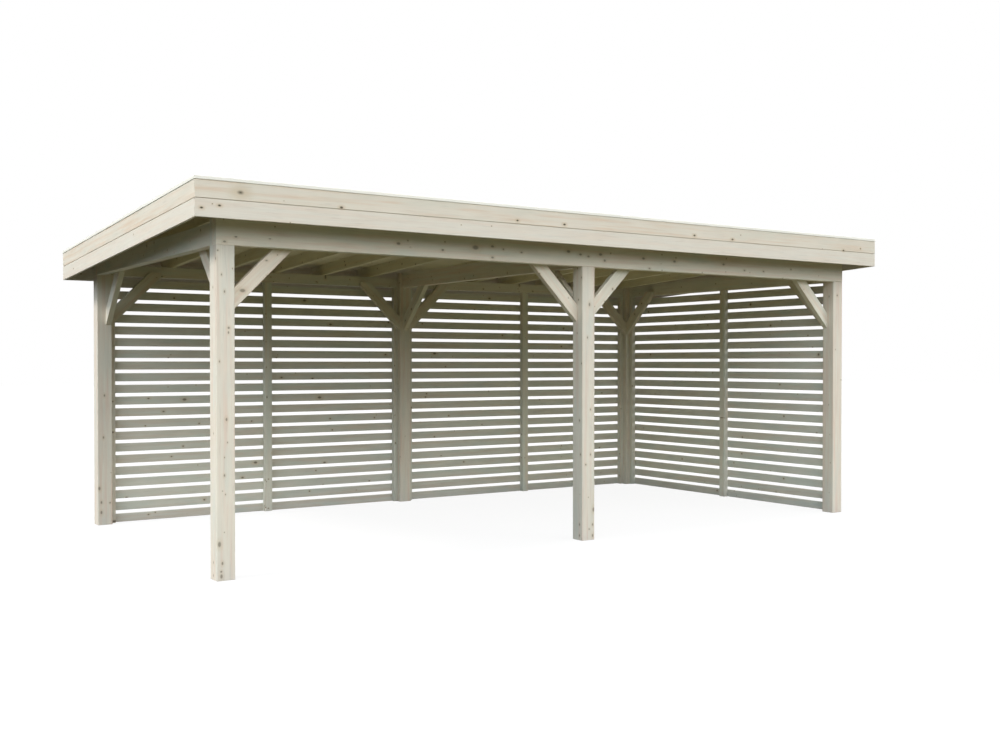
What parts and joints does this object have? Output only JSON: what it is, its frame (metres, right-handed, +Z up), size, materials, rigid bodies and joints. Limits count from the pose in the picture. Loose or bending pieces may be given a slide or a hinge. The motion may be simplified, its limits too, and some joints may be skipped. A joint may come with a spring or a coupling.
{
  "type": "garden pavilion",
  "caption": "Open timber garden pavilion with square posts, corner braces, a flat low-pitch roof with deep fascia boards, and slatted back and right walls.",
  "frame": {"origin": "centre of the roof's outline in plan, at ground level under the posts", "axes": "+X along the open front to the right seen from the front, +Y from the open front to the slatted back, +Z up"},
  "size_m": [6.268, 3.418, 2.4794],
  "materials": {
    "post_wood": "matt",
    "frame_wood": "matt",
    "fascia_wood": "matt",
    "slat_wood": "matt",
    "roof_wood": "matt",
    "roofing": "matt"
  },
  "bodies": {
    "root": {"front_left_post": "post_wood", "front_middle_post": "post_wood", "front_right_post": "post_wood", "back_left_post": "post_wood", "back_middle_post": "post_wood", "back_right_post": "post_wood", "front_beam": "frame_wood", "back_beam": "frame_wood", "left_beam": "frame_wood", "right_beam": "frame_wood", "middle_tie": "frame_wood", "front_brace_1": "frame_wood", "front_brace_2": "frame_wood", "front_brace_3": "frame_wood", "front_brace_4": "frame_wood", "back_brace_1": "frame_wood", "back_brace_2": "frame_wood", "back_brace_3": "frame_wood", "back_brace_4": "frame_wood", "left_brace_front": "frame_wood", "left_brace_back": "frame_wood", "right_brace_front": "frame_wood", "right_brace_back": "frame_wood", "tie_brace_front": "frame_wood", "tie_brace_back": "frame_wood", "left_rafters": "roof_wood", "right_rafters": "roof_wood", "roof_boarding": "roof_wood", "roofing_sheet": "roofing", "front_fascia_upper": "fascia_wood", "front_fascia_lower": "fascia_wood", "back_fascia_upper": "fascia_wood", "back_fascia_lower": "fascia_wood", "left_fascia_upper": "fascia_wood", "left_fascia_lower": "fascia_wood", "right_fascia_upper": "fascia_wood", "right_fascia_lower": "fascia_wood", "front_capping": "fascia_wood", "back_capping": "fascia_wood", "left_capping": "fascia_wood", "right_capping": "fascia_wood", "back_left_wall": "slat_wood", "back_right_wall": "slat_wood", "right_wall": "slat_wood"}
  },
  "joints": []
}
